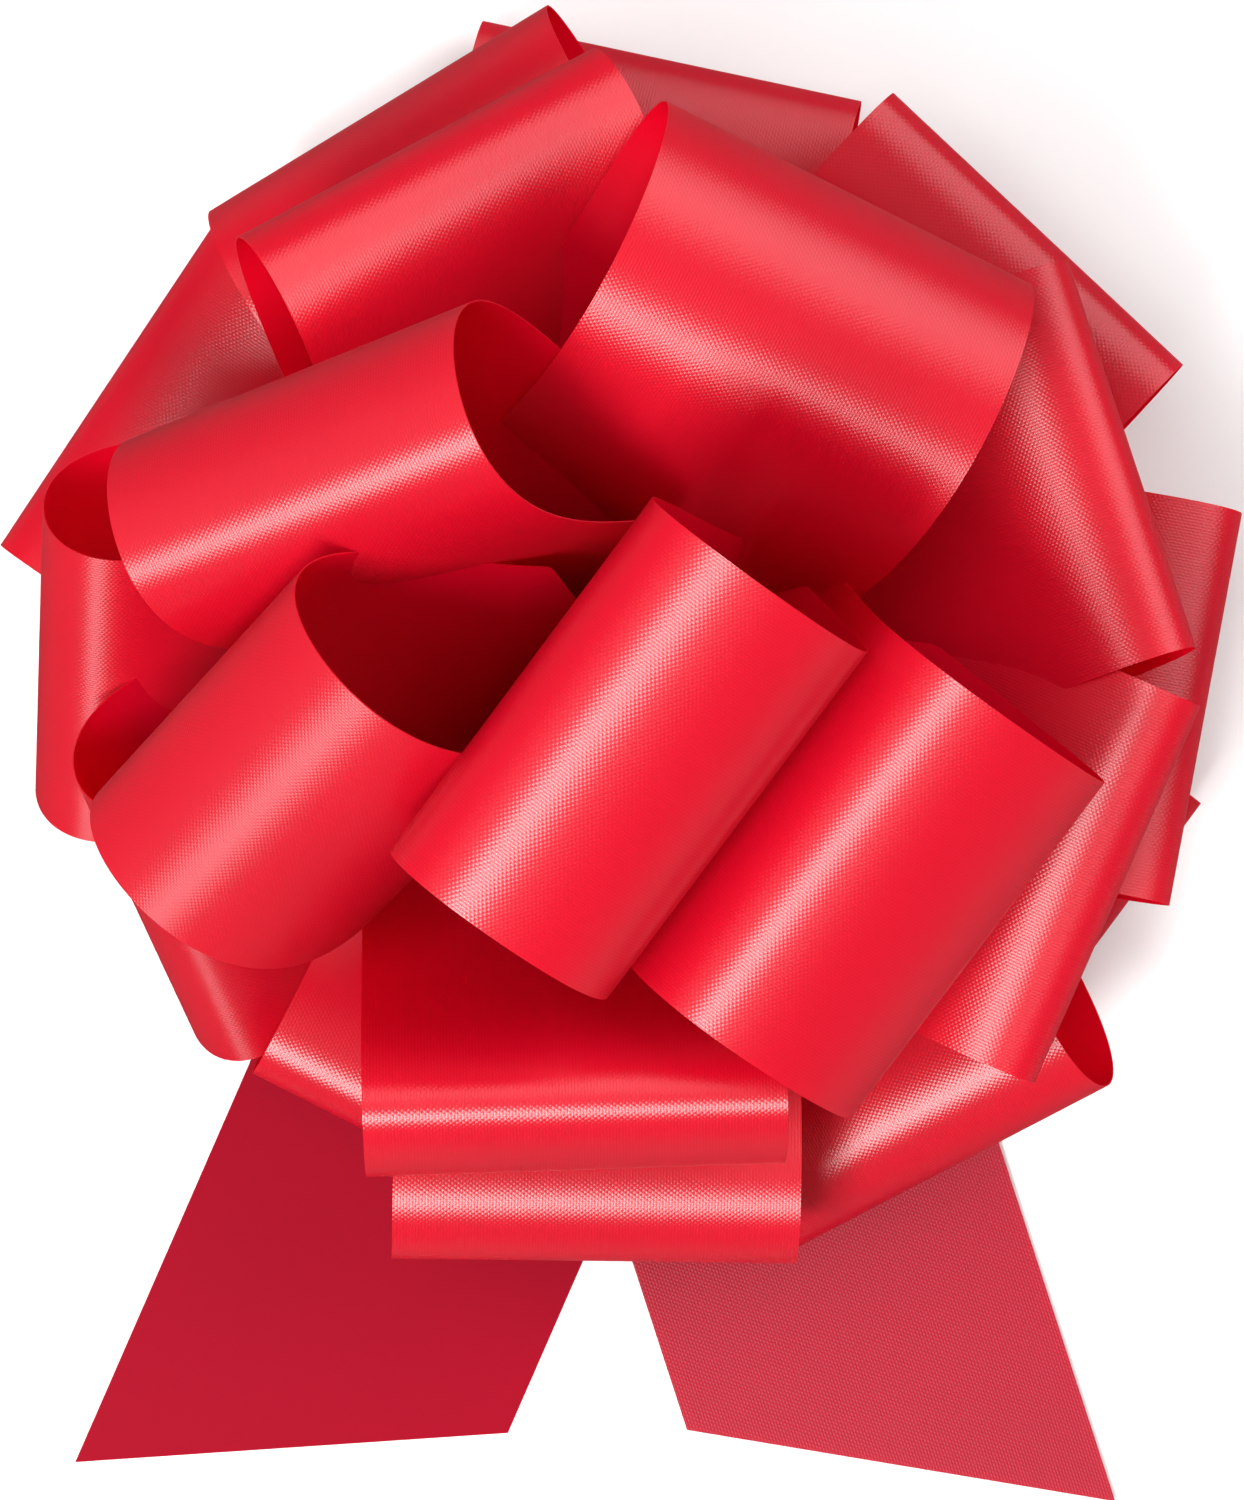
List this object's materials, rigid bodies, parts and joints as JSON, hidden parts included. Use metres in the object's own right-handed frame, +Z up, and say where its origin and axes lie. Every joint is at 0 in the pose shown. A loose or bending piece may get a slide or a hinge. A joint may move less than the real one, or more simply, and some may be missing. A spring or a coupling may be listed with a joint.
{
  "type": "pull bow",
  "caption": "Pre-made ribbon gift bow: full loops of embossed satin ribbon gathered on draw strings, with slant-cut tails.",
  "frame": {"origin": "centre of the knot's flat underside, on the bow's axis, in the plane the bow rests on", "axes": "+Z up along the draw strings; the tails leave towards -Y; +X to the right seen from above with the tails towards the viewer"},
  "size_m": [0.1994, 0.2425, 0.1284],
  "materials": {
    "ribbon": "embossed satin",
    "ribbon_back": "matt inner face",
    "string": "flat woven string"
  },
  "bodies": {
    "bow": {"loop_base_4": "ribbon", "loop_base_12": "ribbon", "loop_base_10": "ribbon", "loop_base_5": "ribbon", "loop_base_11": "ribbon", "loop_base_3": "ribbon", "loop_base_7": "ribbon", "loop_base_8": "ribbon", "loop_base_1": "ribbon", "loop_base_9": "ribbon", "loop_base_6": "ribbon", "loop_middle_4": "ribbon", "loop_middle_11": "ribbon", "loop_middle_2": "ribbon", "loop_middle_6": "ribbon", "loop_crown_1": "ribbon", "loop_crown_8": "ribbon", "loop_crown_4": "ribbon", "loop_crown_10": "ribbon", "loop_crown_front": "ribbon", "draw_string_front": "string", "draw_string_back": "string", "string_knot": "string"},
    "left_tail": {"tail_left": "ribbon_back"},
    "right_tail": {"tail_right": "ribbon"}
  },
  "joints": [
    {"name": "left_tail_swing", "type": "hinge", "parent": "bow", "child": "left_tail", "pos_m": [0, 0, 0.0034], "axis": [0, 0, 1], "range_deg": [-15, 15]},
    {"name": "right_tail_swing", "type": "hinge", "parent": "bow", "child": "right_tail", "pos_m": [0, 0, 0.0039], "axis": [0, 0, 1], "range_deg": [-15, 15]}
  ]
}
